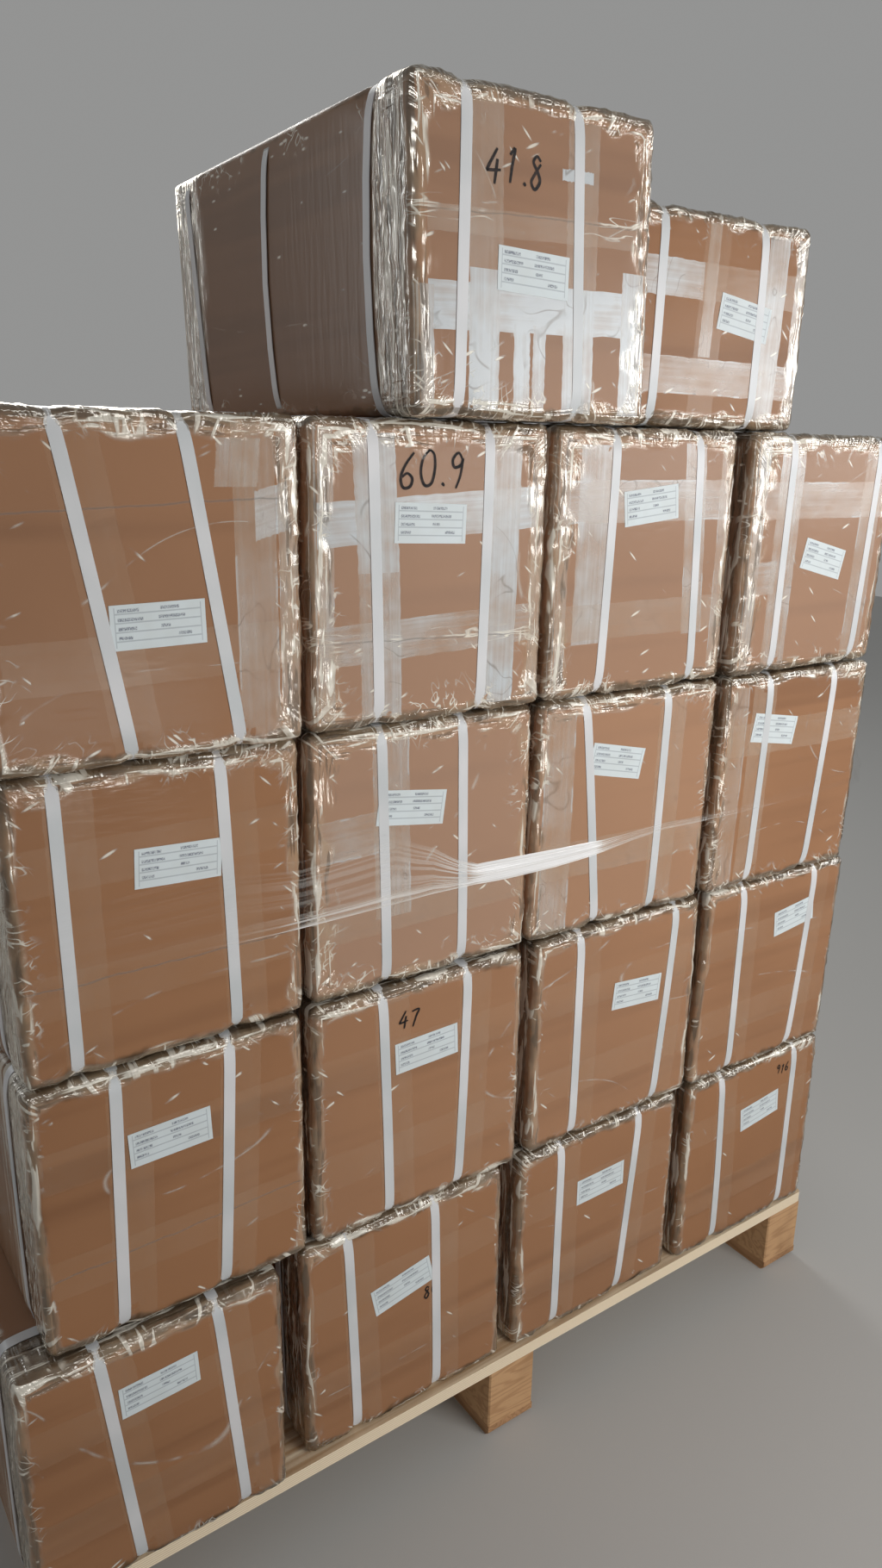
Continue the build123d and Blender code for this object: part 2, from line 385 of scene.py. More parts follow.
class Finish:
    """A node material under construction."""

    def __init__(self, name):
        self.material = bpy.data.materials.new(name)
        self.material.use_nodes = True
        self.tree = self.material.node_tree
        self.tree.nodes.clear()
        self.output = self.tree.nodes.new("ShaderNodeOutputMaterial")
        coordinates = self.tree.nodes.new("ShaderNodeTexCoord")
        self.place, self.uv = coordinates.outputs["Object"], coordinates.outputs["UV"]

    def put(self, value, target):
        """Sets a socket, or links it when the value is another node's socket."""
        if isinstance(value, bpy.types.NodeSocket):
            self.tree.links.new(value, target)
        elif not isinstance(value, (int, float)) and len(value) == 3 and len(target.default_value) == 4:
            target.default_value = (*value, 1.0)
        else:
            target.default_value = value

    def node(self, kind, out=0, settings=None, **inputs):
        """A node's output; inputs are named, or numbered as i0, i1 and so on."""
        made = self.tree.nodes.new("ShaderNode" + kind)
        for key, value in (settings or {}).items():
            setattr(made, key, value)
        for key, value in inputs.items():
            numbered = key[0] == "i" and key[1:].isdigit()
            self.put(value, made.inputs[int(key[1:]) if numbered else key.replace("_", " ")])
        return made if out is None else made.outputs[out]

    def math(self, operation, a, b=0.0, clamp=False):
        return self.node("Math", settings={"operation": operation, "use_clamp": clamp}, i0=a, i1=b)

    def times(self, *values):
        return reduce(partial(self.math, "MULTIPLY"), values)

    def most(self, *values):
        return reduce(partial(self.math, "MAXIMUM"), values)

    def plus(self, a, b, clamp=False):
        return self.math("ADD", a, b, clamp)

    def apart(self, a, b):
        """How far two values are apart."""
        return self.math("ABSOLUTE", self.math("SUBTRACT", a, b))

    def stray(self, noise_value, size):
        """A noise value made to stray round zero."""
        return self.times(self.math("SUBTRACT", noise_value, 0.5), size)

    def mix(self, share, a, b):
        return self.node("Mix", out=2, settings={"data_type": "RGBA"}, i0=share, i6=a, i7=b)

    def ramp(self, value, low, high, start=0.0, end=1.0, smooth=True):
        """Value between low and high, spread to start and end."""
        settings = {"interpolation_type": "SMOOTHSTEP" if smooth else "LINEAR", "clamp": True}
        return self.node("MapRange", settings=settings, i0=value, i1=low, i2=high, i3=start, i4=end)

    def near(self, value, centre, inner, outer, peak=1.0):
        """Peak where the value is within inner of the centre, fading to nothing at outer."""
        return self.ramp(self.apart(value, centre), inner, outer, peak, 0.0)

    def attribute(self, name, out=2):
        settings = {"attribute_name": name, "attribute_type": "GEOMETRY"}
        return self.node("Attribute", out=out, settings=settings)

    def stretched(self, scale, turn=(0, 0, 0), source=None):
        return self.node("Mapping", i0=self.place if source is None else source, i2=turn, i3=scale)

    def slanted(self, scale, turn, source=None):
        """Coordinates turned first and stretched after, which one mapping does the other way round."""
        return self.stretched(scale, source=self.stretched((1, 1, 1), turn, source))

    def grain(self, scale, detail=3.0, rough=0.55, distort=0.0, vector=None):
        vector = self.place if vector is None else vector
        return self.node(
            "TexNoise", Vector=vector, Scale=scale, Detail=detail, Roughness=rough, Distortion=distort
        )

    def streaks(self, scale, detail=2.0, rough=0.55, distort=0.0, turn=(0, 0, 0), source=None):
        """Noise with its own scale along each axis."""
        return self.grain(1.0, detail, rough, distort, self.stretched(scale, turn, source))

    def bump(self, height, strength, distance):
        return self.node("Bump", Strength=strength, Distance=distance, Height=height)

    def solid(self, colour, roughness, specular, normal=None, alpha=1.0):
        extra = {} if normal is None else {"Normal": normal}
        return self.node(
            "BsdfPrincipled",
            Base_Color=colour, Roughness=roughness, Specular_IOR_Level=specular, Alpha=alpha, **extra,
        )

    def glazed(self, cover, solid, share, **gloss):
        """Clear where cover is 0 and solid where it is 1, with a share of gloss over both."""
        skin = self.node("MixShader", i0=cover, i1=self.node("BsdfTransparent"), i2=solid)
        mirror = self.node("BsdfAnisotropic", **gloss)
        return self.done(self.node("MixShader", i0=share, i1=skin, i2=mirror))

    def done(self, shader):
        self.tree.links.new(shader, self.output.inputs["Surface"])
        return self.material


def board_finish():
    """Kraft board: soft cloudy tone, faint bands and fibres, with painted shade along the edges where the
    film folds over them.
    """
    f = Finish("kraft_board")
    c = colours()
    cloud = f.grain(5.0, detail=2.0)
    bands = f.streaks((1.2, 1.2, 26.0))
    fibre = f.streaks((260.0, 260.0, 900.0), detail=4.0, rough=0.7)
    settings = {"wave_type": "BANDS", "bands_direction": "Z", "wave_profile": "SIN"}
    flute = f.node("TexWave", 1, settings, Vector=f.place, Scale=22.0, Distortion=0.6, Detail=1.0)
    banded = f.times(f.ramp(bands, 0.50, 0.72), 0.75)
    tone = f.plus(banded, f.times(f.ramp(cloud, 0.35, 0.75), 0.35), clamp=True)
    colour = f.mix(tone, c.board, c.board_shade)
    colour = f.mix(f.ramp(fibre, 0.55, 0.80, 0.0, 0.25), colour, (0.44, 0.26, 0.16))
    # paler, greyer board by the tint: on the front cartons mostly painted sheen where the light falls most,
    # partly the board's own variation
    colour = f.mix(f.times(f.attribute("tint"), 0.62), colour, (0.49, 0.30, 0.20))
    # painted shade: the board darkens along its rounded edges, most near the top and bottom, with ragged
    # bounds
    ragged = f.stray(f.grain(38.0, detail=2.0), 0.022)
    level = f.ramp(f.plus(f.attribute("level"), ragged), 0.004, 0.013, 0.92, 0.0)
    side = f.ramp(f.plus(f.attribute("edge"), ragged), 0.002, 0.008, 0.55, 0.0)
    colour = f.mix(f.most(level, side), colour, c.rim)
    normal = f.bump(f.plus(f.times(fibre, 0.4), f.times(flute, 0.25)), 0.25, 0.0006)
    return f.done(f.solid(colour, f.ramp(fibre, 0.3, 0.8, 0.52, 0.68), 0.07, normal))


def film_finish():
    """Clear film: all but unseen where it lies flat; where it gathers at the edges, painted highlights and
    painted shade stand for its folds.
    """
    f = Finish("clear_film_skin")
    crease = f.attribute("crease", out=1)
    edge, wrap, side = (f.attribute(name) for name in ("edge", "wrap", "side"))
    reach = f.math("DIVIDE", edge, wrap)
    cluster = f.grain(22.0, detail=2.0, rough=0.6)
    zone = f.ramp(f.plus(f.attribute("rim"), f.stray(cluster, 0.9)), 0.20, 0.75)
    # gathers along the edges, and away from the top and bottom ones, for the bumps, the painted highlights
    # and the painted shade
    along = f.streaks((13.0, 125.0, 13.0), distort=0.35, source=crease)
    away = f.streaks((95.0, 15.0, 95.0), rough=0.60, distort=0.4, source=crease)
    low_or_high = f.ramp(f.attribute("level"), 0.016, 0.045, 1.0, 0.0)
    # painted highlights on the gathers, more of them on the sides
    glint = f.times(f.ramp(away, 0.56, 0.62), low_or_high, f.ramp(cluster, 0.44, 0.54))
    stroke = f.ramp(f.plus(along, f.times(side, 0.055)), 0.575, 0.63)
    pale = f.times(f.most(stroke, glint), zone)
    # painted shade in the dark folds between the gathers
    fold_shade = f.times(f.ramp(along, 0.40, 0.47, 1.0, 0.0), zone)
    # painted highlights: long faint arcs over the flat film
    arc_glint = f.near(f.streaks((2.6, 3.0, 5.2), detail=0.0, turn=(0, 0.35, 0)), 0.5, 0.0, 0.0035)
    pale = f.most(pale, f.times(arc_glint, f.ramp(cluster, 0.46, 0.60, 0.0, 0.55)))
    # painted glints: short dashes both ways, fewer away from the edges
    odds = f.ramp(reach, 0.006, 0.052, 0.60, 0.935, smooth=False)
    odds = f.plus(odds, f.ramp(wrap, 0.5, 1.0, 0.04, 0.0))
    for lean, fine in ((0.42, 150.0), (-0.75, 200.0)):
        dashes = f.node("TexVoronoi", None, Vector=f.slanted((30.0, 40.0, fine), (0, lean, 0)), Scale=1.0)
        draw = f.node("SeparateColor", i0=dashes.outputs[1])
        picked = f.ramp(f.math("SUBTRACT", draw, odds), 0.0, 0.01)
        glint_fleck = f.ramp(dashes.outputs[0], 0.12, 0.33, 1.0, 0.0)
        pale = f.most(pale, f.times(glint_fleck, picked, f.ramp(cluster, 0.45, 0.53)))
    # painted highlights: groups of thin crossing lines
    group = f.times(f.ramp(f.grain(9.0, detail=1.0), 0.46, 0.56), f.ramp(reach, 0.011, 0.044, 1.0, 0.0))
    group = f.times(group, f.ramp(f.grain(48.0, detail=1.0), 0.46, 0.56))
    for lean in (0.62, -0.45):
        line = f.grain(1.0, detail=1.0, vector=f.slanted((62.0, 7.0, 62.0), (lean, 0, lean), crease))
        pale = f.most(pale, f.times(f.near(line, 0.5, 0.004, 0.022), group))
    # painted silvery reflection on the left sides
    pale = f.most(pale, f.times(f.attribute("sheen"), f.ramp(along, 0.42, 0.55, 0.0, 0.85)))
    # the seam: painted shade in a dark line, a painted highlight in a pale one over it, and painted
    # highlights on pleats where the film is tight
    seam = f.plus(f.attribute("seam"), f.stray(cluster, 0.008))
    apart = f.math("ABSOLUTE", seam)
    pleat = f.streaks((16.0, 20.0, 95.0), detail=1.0, distort=0.3, turn=(0, 0.1, 0))
    pleat = f.times(f.near(pleat, 0.5, 0.006, 0.030), f.ramp(apart, 0.004, 0.020, 1.0, 0.0))
    pleat = f.times(pleat, f.ramp(cluster, 0.40, 0.56))
    seam_glint = f.times(f.near(seam, 0.0022, 0.0005, 0.0013), f.ramp(cluster, 0.42, 0.58, 0.15, 0.9))
    pale = f.most(pale, f.times(f.most(pleat, seam_glint), f.ramp(wrap, 0.9, 1.0)))
    # painted shade: the dark fold down a side's outer edge
    inward = f.node("SeparateXYZ", out=1, i0=crease)
    corner = f.times(f.ramp(inward, -0.012, -0.004), side)
    fold_shade = f.most(fold_shade, f.ramp(apart, 0.0004, 0.0012, 0.75, 0.0), corner)
    milky = f.ramp(f.plus(cluster, f.times(along, 0.5)), 0.62, 0.90, 0.04, 0.34)
    # the film on the sides is a dull dark veil of painted shade
    body = f.most(f.times(zone, milky), f.times(side, 0.38), f.ramp(wrap, 0.75, 1.05, 0.0, 0.10))
    cover = f.most(body, f.times(fold_shade, f.ramp(side, 0.0, 1.0, 0.62, 0.85)), f.times(pale, 0.84))
    plain = f.mix(side, f.mix(zone, (0.38, 0.40, 0.41), (0.56, 0.43, 0.28)), (0.20, 0.165, 0.125))
    # the painted shade colour of the folds
    colour = f.mix(f.times(fold_shade, 0.9), plain, (0.070, 0.048, 0.028))
    # painted highlights in the film's pale colour
    colour = f.mix(pale, colour, colours().film)
    height = f.plus(along, f.times(away, low_or_high, 0.9))
    normal = f.bump(height, f.ramp(zone, 0.0, 1.0, 0.08, 1.0), 0.0040)
    flat_share = f.ramp(side, 0.0, 1.0, 0.16, 0.03)
    facing = f.node("Fresnel", IOR=1.40, Normal=normal)
    share = f.times(facing, f.ramp(zone, 0.0, 1.0, flat_share, 1.9))
    share = f.plus(share, f.times(zone, 0.045), clamp=True)
    solid = f.solid(colour, 0.26, 0.35, normal)
    return f.glazed(cover, solid, share, Color=(0.97, 0.93, 0.85), Roughness=0.15, Normal=normal)


def tape_finish():
    """Packing tape: a clear glossy strip with lengthwise streaks, white in patches of painted glare."""
    f = Finish("packing_tape")
    tone = f.attribute("tone")
    streak = f.streaks((4.0, 170.0, 1.0), detail=3.0, rough=0.6, source=f.uv)
    patch = f.grain(15.0, detail=3.0, rough=0.62)
    # painted glare: white patches, their amount set by the strip's tone
    level = f.plus(f.times(streak, 0.40), f.times(patch, 0.60))
    spread = f.stray(level, f.ramp(tone, 0.05, 0.5, 0.5, 2.4))
    painted_glare = f.plus(f.times(tone, 1.02), spread, clamp=True)
    # painted reflection: pale lines along the strip's borders
    rim = f.ramp(f.math("ABSOLUTE", f.attribute("across")), 0.40, 0.47)
    painted_glare = f.most(painted_glare, f.times(rim, f.ramp(patch, 0.47, 0.57), f.ramp(tone, 0.05, 0.30, 0.0, 0.7)))
    # painted reflection: dark curved lines in the glare
    crease = f.near(f.grain(13.0, detail=1.0, distort=1.4), 0.52, 0.0, 0.014, 0.60)
    # the tape's own brown, turned pale bluish by the painted glare
    colour = f.mix(painted_glare, (0.46, 0.32, 0.21), (0.60, 0.64, 0.67))
    colour = f.mix(f.times(crease, f.ramp(patch, 0.48, 0.58)), colour, (0.20, 0.17, 0.14))
    cover = f.ramp(painted_glare, 0.0, 1.0, 0.12, 0.84, smooth=False)
    cover = f.times(cover, f.ramp(tone, 0.0, 0.12, 0.20, 1.0))
    normal = f.bump(f.plus(f.times(streak, 0.5), patch), 0.30, 0.0012)
    return f.done(f.solid(colour, 0.27, 0.4, normal, cover))


def strap_finish():
    """Plastic strap: off-white, smooth, with fine lengthwise ribs."""
    f = Finish("strap_plastic_band")
    tint = f.mix(f.ramp(f.grain(9.0, detail=2.0), 0.3, 0.7), colours().strap, (0.74, 0.74, 0.76))
    scuff = f.streaks((6.0, 400.0, 1.0), detail=4.0, source=f.uv)
    colour = f.mix(f.ramp(scuff, 0.62, 0.8, 0.0, 0.35), tint, (0.48, 0.50, 0.50))
    return f.done(f.solid(colour, 0.38, 0.45, f.bump(scuff, 0.12, 0.0002)))


# height, start and end of the plain bars on a label
BARS = (
    (0.87, 0.08, 0.30), (0.67, 0.08, 0.34), (0.47, 0.08, 0.27), (0.27, 0.08, 0.22),
    (0.88, 0.52, 0.72), (0.68, 0.50, 0.78), (0.48, 0.52, 0.62), (0.28, 0.70, 0.84),
)


def label_finish():
    """Label paper: ruled rows, a ruled margin and short plain bars in place of any writing."""
    f = Finish("label_paper_ruled")
    u, v = (f.node("SeparateXYZ", out=axis, i0=f.uv) for axis in (0, 1))

    def line(value, centre, half):
        return f.near(value, centre, half * 0.6, half * 1.2)

    def within(value, low, high):
        above = f.ramp(value, low - 0.004, low + 0.004)
        return f.times(above, f.ramp(value, high - 0.004, high + 0.004, 1.0, 0.0))

    rules = f.most(*(line(v, height, 0.018) for height in (0.80, 0.60, 0.40, 0.20)))
    margin = f.most(*(line(u, place, 0.006) for place in (0.05, 0.95)))
    ruled = f.most(f.times(rules, within(u, 0.05, 0.95)), f.times(margin, within(v, 0.06, 0.94)))
    bars = f.most(*(f.times(line(v, height, 0.040), within(u, *ends)) for height, *ends in BARS))
    bars = f.times(bars, f.ramp(f.streaks((900.0, 900.0, 900.0)), 0.40, 0.60, 0.2, 0.9))
    stain = f.grain(40.0, detail=2.0)
    paper = f.mix(f.ramp(stain, 0.3, 0.8, 0.0, 0.35), colours().label, (0.60, 0.63, 0.62))
    colour = f.mix(f.most(f.times(ruled, 0.38), bars), paper, (0.15, 0.17, 0.22))
    return f.done(f.solid(colour, 0.5, 0.35, f.bump(stain, 0.2, 0.0006)))


def ink_finish():
    """Marker pen: near-black, a little uneven."""
    f = Finish("marker_ink")
    patch = f.ramp(f.grain(300.0, detail=2.0), 0.35, 0.75)
    return f.done(f.solid(f.mix(patch, (0.010, 0.008, 0.008), (0.045, 0.028, 0.024)), 0.6, 0.2))


def band_finish():
    """The loose band: clear film drawn into lengthwise pleats, pale where it is pulled tight."""
    f = Finish("stretch_band_film")
    pale = f.attribute("tone")
    pleat = f.streaks((0.6, 5.0, 1.0), detail=4.0, rough=0.6, distort=0.4, source=f.uv)
    line = f.times(f.near(pleat, 0.5, 0.0, 0.05), f.ramp(pale, 0.0, 0.3, 0.02, 0.62))
    tight = f.times(f.ramp(pale, 0.35, 0.80), f.ramp(pleat, 0.25, 0.55, 0.72, 1.0))
    cover = f.plus(tight, line, clamp=True)
    normal = f.bump(pleat, 0.6, 0.003)
    solid = f.solid(f.mix(cover, (0.75, 0.72, 0.66), (0.92, 0.92, 0.93)), 0.2, 0.6, normal)
    facing = f.node("Fresnel", IOR=1.35, Normal=normal)
    share = f.math("MULTIPLY", facing, f.ramp(pale, 0.0, 0.12, 0.12, 0.7), clamp=True)
    return f.glazed(cover, solid, share, Color=(0.95, 0.95, 0.95), Roughness=0.14, Normal=normal)


def wood_finish(name, light, dark, stretch, turn=(0, 0, 0)):
    """Sawn softwood: grain drawn out along one axis, growth lines, patches of shade and a rough skin."""
    f = Finish(name)
    place = f.stretched(stretch, turn)
    line = f.grain(1.0, detail=2.0, rough=0.5, distort=0.35, vector=place)
    fine = f.grain(9.0, detail=3.0, rough=0.7, vector=place)
    blotch = f.ramp(f.grain(11.0, detail=2.0), 0.50, 0.72, 0.0, 0.45)
    rings = f.apart(f.math("FRACT", f.times(line, 9.0)), 0.5)
    colour = f.mix(f.ramp(rings, 0.02, 0.30, 0.45, 1.0), dark, light)
    colour = f.mix(f.ramp(fine, 0.50, 0.75, 0.0, 0.40), colour, dark)
    colour = f.mix(blotch, colour, [0.62 * x for x in dark])
    normal = f.bump(f.plus(fine, f.times(rings, 0.4)), 0.5, 0.0010)
    return f.done(f.solid(colour, 0.72, 0.25, normal))


def plywood_finish():
    """Plywood: drawn grain on the faces, thin level plies along the edge."""
    f = Finish("deck_plywood_sheet")
    plywood = colours().plywood
    up = f.node("SeparateXYZ", out=2, i0=f.node("NewGeometry", out=1))
    height = f.node("SeparateXYZ", out=2, i0=f.place)
    ply = f.plus(f.times(height, 330.0), f.times(f.grain(6.0, detail=2.0), 0.35))
    ply = f.ramp(f.apart(f.math("FRACT", ply), 0.5), 0.02, 0.22)
    sawn = f.streaks((120.0, 120.0, 500.0), detail=4.0, rough=0.7)
    edge_colour = f.mix(ply, (0.70, 0.50, 0.33), plywood)
    edge_colour = f.mix(f.ramp(sawn, 0.5, 0.8, 0.0, 0.5), edge_colour, (0.93, 0.80, 0.63))
    drawn = f.streaks((2.0, 40.0, 10.0), detail=5.0, rough=0.6, distort=1.2)
    top_colour = f.mix(f.ramp(drawn, 0.35, 0.7), (0.48, 0.30, 0.16), plywood)
    colour = f.mix(f.ramp(f.math("ABSOLUTE", up), 0.5, 0.8), edge_colour, top_colour)
    return f.done(f.solid(colour, 0.7, 0.25, f.bump(sawn, 0.6, 0.001)))


def floor_finish():
    """Pale, faintly clouded floor."""
    f = Finish("pale_floor")
    pale = (0.50, 0.50, 0.49)
    return f.done(f.solid(f.mix(f.grain(1.5, detail=2.0), [x * 0.97 for x in pale], pale), 0.7, 0.2))


# Mesh helpers, in millimetres in a carton's own frame


def smoothstep(value, low, high):
    t = min(1.0, max(0.0, (value - low) / (high - low)))
    return t * t * (3 - 2 * t)


def to_load(carton, x, y, z):
    """A point of the carton's own frame, in millimetres, set in the load, in metres."""
    (px, py, pz), turn = carton.place
    x += carton.lean * z / carton.height
    a = math.radians(turn)
    c, s = math.cos(a), math.sin(a)
    return Vector(((px + c * x - s * y) * MM, (py + s * x + c * y) * MM, (pz + z) * MM))


def strap_x(ends, z, height):
    """Where a lengthwise strap crosses a carton's end at a height."""
    top, bottom = ends
    return bottom + (top - bottom) * z / height - WIDTH / 2


def girth_y(carton, index, x, z):
    """Where a girth strap lies along the carton, slack at the left side where it is drawn so."""
    place = (GIRTH_END, carton.depth / 2, carton.depth - GIRTH_END)[index]
    if not carton.slack:
        return place
    top, middle, bottom = carton.slack[index]
    t = min(1.0, max(0.0, z / carton.height))
    bow = bottom * (1 - t) + top * t + (middle - (top + bottom) / 2) * 4 * t * (1 - t)
    return place + bow * (0.5 - x / WIDTH)


def distances(carton, x, y, z):
    """Distances to the nearest side, end and level face, smallest first."""
    gaps = (WIDTH / 2 - abs(x), min(y, carton.depth - y), min(z, carton.height - z))
    return sorted(max(0.0, gap) for gap in gaps)


def pressed(carton, x, y, z):
    """The point moved as the filled, strapped carton moves it: bellied ends, edges bitten by straps."""
    w, d, h = WIDTH / 2, carton.depth, carton.height
    belly, bite = sizes().belly / MM, sizes().strap_bite / MM
    front, back, left, right, over, under = (max(gap, 0) for gap in (y, d - y, w + x, w - x, h - z, z))
    u = max(0.0, 1 - (x / w) ** 2)
    v = max(0.0, 4 * z * (h - z) / (h * h))
    t = max(0.0, 4 * y * (d - y) / (d * d))
    swell = 0.6 + 0.8 * noise.noise(Vector((carton.seed * 7.3, x / SWELL_SIZE, z / SWELL_SIZE)))
    move = [
        belly * 0.7 * v * t * (math.exp(-right / BELLY_FADE) - math.exp(-left / BELLY_FADE)),
        -belly * swell * u * v * (math.exp(-front / BELLY_FADE) - math.exp(-back / BELLY_FADE)),
        0.0,
    ]
    straps = [(1, x - strap_x(ends, z, h), (front, back)) for ends in carton.straps]
    straps += [(0, y - girth_y(carton, index, x, z), (left, right)) for index in range(3)]
    for axis, off, gaps in straps:
        pull = bite * math.exp(-((off / BITE_WIDTH) ** 2))
        for gap, inward in zip(gaps, (1, -1)):
            for level, upward in ((over, -1), (under, 1)):
                share = pull * math.exp(-(gap * gap + level * level) / BITE_AREA)
                move[axis] += share * inward
                move[2] += share * upward * 0.6
    _, edge, corner = distances(carton, x, y, z)
    worn = math.exp(-edge / WORN_EDGE) * (1.0 + 2.6 * math.exp(-corner / WORN_CORNER))
    drift = noise.noise_vector(Vector((x / 42, y / 70, z / 42 + carton.seed * 4.3)))
    move[0] -= math.copysign(worn * abs(drift.x), x)
    move[1] += worn * abs(drift.y) * (1 if y < d / 2 else -1)
    move[2] -= worn * abs(drift.z) * (1 if z > h / 2 else -1) * 0.8
    return x + move[0], y + move[1], z + move[2]


def outward(carton, x, y, z):
    """Unit direction straight out of a rounded carton at a point on its skin."""
    inset = sizes().round_edge / MM
    w = WIDTH / 2 - inset
    nearest = (
        max(-w, min(w, x)),
        max(inset, min(carton.depth - inset, y)),
        max(inset, min(carton.height - inset, z)),
    )
    away = Vector((x, y, z)) - Vector(nearest)
    return away.normalized() if away.length > 1e-6 else Vector((0, -1, 0))


def lifted(carton, x, y, z, lift):
    """A point of the carton's skin, pressed as the carton is and lifted off it, set in the load."""
    out = outward(carton, x, y, z)
    px, py, pz = pressed(carton, x, y, z)
    return to_load(carton, px + out[0] * lift, py + out[1] * lift, pz + out[2] * lift)


def on_end(carton, x, z, lift):
    """The point at X and Z on the carton's outer end, lifted off it and set in the load."""
    inset = sizes().round_edge / MM
    dx = max(0.0, abs(x) - (WIDTH / 2 - inset))
    dz = max(0.0, inset - min(z, carton.height - z))
    y = inset - math.sqrt(max(0.0, inset * inset - min(inset * inset, dx * dx + dz * dz)))
    return lifted(carton, x, y, z, lift)


def stored(bm, name):
    mesh = bpy.data.meshes.new(name)
    bm.to_mesh(mesh)
    bm.free()
    return mesh


def make_piece(name, bm):
    """A finished mesh as an object of the load."""
    piece = bpy.data.objects.new(name, stored(bm, name))
    bpy.context.scene.collection.objects.link(piece)
    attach(piece, "root")
    return piece


def paint(piece, material):
    piece.data.materials.clear()
    piece.data.materials.append(material)


def clear_to_light(piece):
    """Lets light through clear film to the board under it."""
    piece.visible_shadow = False
    piece.visible_diffuse = False


def even_faces(bm):
    bmesh.ops.recalc_face_normals(bm, faces=bm.faces[:])


def cut(bm, axis, places, reach=None):
    """Cuts the block across an axis at each place, whole or only near its outer end."""
    normal = Vector([1.0 if i == axis else 0.0 for i in range(3)])
    for place in places:
        faces = bm.faces[:] if reach is None else [f for f in bm.faces if f.calc_center_median().y < reach]
        parts = dict.fromkeys(faces)
        for face in faces:
            parts.update(dict.fromkeys([*face.edges, *face.verts]))
        bmesh.ops.bisect_plane(bm, geom=list(parts), dist=1e-4, plane_co=normal * place, plane_no=normal)


def steps(start, end, step):
    count = max(1, round((end - start) / step))
    return [start + (end - start) * i / count for i in range(1, count)]


# Board bodies and film skins


@cache
def carton_block(depth, height, step):
    """A rounded block, outer end on the XZ plane, its mesh close over that end and wider along it."""
    bm = bmesh.new()
    bmesh.ops.create_cube(bm, size=1.0)
    bmesh.ops.scale(bm, vec=(WIDTH, depth, height), verts=bm.verts)
    bmesh.ops.translate(bm, vec=(0, depth / 2, height / 2), verts=bm.verts)
    inset = sizes().round_edge / MM
    bmesh.ops.bevel(
        bm, geom=bm.edges[:], offset=inset, offset_type="OFFSET", segments=4,
        profile=0.5, affect="EDGES", material=-1,
    )
    reach = GIRTH_END + 18
    cut(bm, 1, [reach] + steps(reach, depth - 30, 90) + [depth - 30])
    cut(bm, 0, steps(inset - WIDTH / 2, WIDTH / 2 - inset, step), reach)
    cut(bm, 2, steps(inset, height - inset, step), reach)
    cut(bm, 1, steps(inset, reach, step * 1.3), reach)
    cut(bm, 0, steps(inset - WIDTH / 2, WIDTH / 2 - inset, WIDE_STEP))
    cut(bm, 2, steps(inset, height - inset, WIDE_STEP))
    even_faces(bm)
    return stored(bm, "block")


def gathered(carton, x, y, z):
    """How gathered the film is at a point, from 0 in the middle of a face to 1 at the edges and corners."""
    corner = distances(carton, x, y, z)[2]
    end = min(y, carton.depth - y)
    wobble = noise.noise(Vector((x / 30, y / 30, z / 30 + carton.seed * 3.1)))
    if end >= 12:
        reach = 50 + 12 * wobble
        return 1 - smoothstep(end, reach, reach + 26)
    most = 0.0
    for gap, reach in zip((WIDTH / 2 + x, WIDTH / 2 - x, carton.height - z, z), carton.wrap):
        reach *= 1.0 + 0.75 * wobble + 1.0 * math.exp(-corner / 34)
        most = max(most, 1 - smoothstep(gap, reach * 0.35, reach + 4))
    return most


def crease_place(carton, x, y, z):
    """Coordinates for creases: a point of the end's outline, and how far in from it or back from it."""
    w, h = WIDTH / 2, carton.height / 2
    reach = max(abs(x) / w, abs(z - h) / h, 0.2)
    inward = min(w - abs(x), min(z, carton.height - z))
    end = min(y, carton.depth - y)
    depth = inward if end < 10 else 10 - end
    return (x / reach * MM, depth * MM, (z - h) / reach * MM + carton.seed * 0.37)


def strap_clearance(carton, x, y, z):
    """0 under a strap, 1 well clear of one."""
    clear = 1.0
    for ends in carton.straps:
        clear = min(clear, smoothstep(abs(x - strap_x(ends, z, carton.height)), *STRAP_HOLD))
    if abs(x) > WIDTH / 2 - 14 or min(z, carton.height - z) < 14:
        for index in range(3):
            clear = min(clear, smoothstep(abs(y - girth_y(carton, index, x, z)), *STRAP_HOLD))
    return clear


def ridge_height(crease):
    """Height of the film's gathers over the board, from 0 to 1."""
    along, depth, up = (value / MM for value in crease)
    q = Vector((along / 34, depth / 9, up / 34))
    q = q + noise.noise_vector(q * 0.6) * 0.8
    sharp = 1 - abs(noise.noise(q) * 2.2)
    r = Vector((along / 13, depth / 30, up / 13))
    crossing = 1 - abs(noise.noise(r + Vector((9, 4, 2))) * 2.2)
    return max(0.0, 0.6 * sharp ** 3 + 0.5 * crossing ** 3 - 0.05)


def seam_gap(carton, x, y, z):
    """How far a point of the outer end lies above the film's seam, or a far distance where there is none."""
    if carton.seam is None or y > EDGE:
        return NO_SEAM
    left, right = carton.seam
    return z - left - (right - left) * (x / WIDTH + 0.5)


def looks(carton, x, y, z):
    """What the board and film finishes read at a point of the carton's skin."""
    end = min(y, carton.depth - y)
    level = max(0.0, min(z, carton.height - z))
    sheen = 0.0
    if carton.bright and x < EDGE - WIDTH / 2:
        sheen = smoothstep(y, 13, 20) * (1 - smoothstep(y, carton.bright, carton.bright + 22))
    return {
        "edge": distances(carton, x, y, z)[1] * MM,
        "rim": gathered(carton, x, y, z),
        "level": max(level, 0.4 * (end - 40)) * MM,
        "tint": carton.tint,
        "side": smoothstep(end, 8, 16) * (1 - 0.7 * smoothstep(end, 40, 90) * (level < 1)),
        "wrap": sum(carton.wrap) / 80,
        "seam": seam_gap(carton, x, y, z) * MM,
        "sheen": sheen,
    }


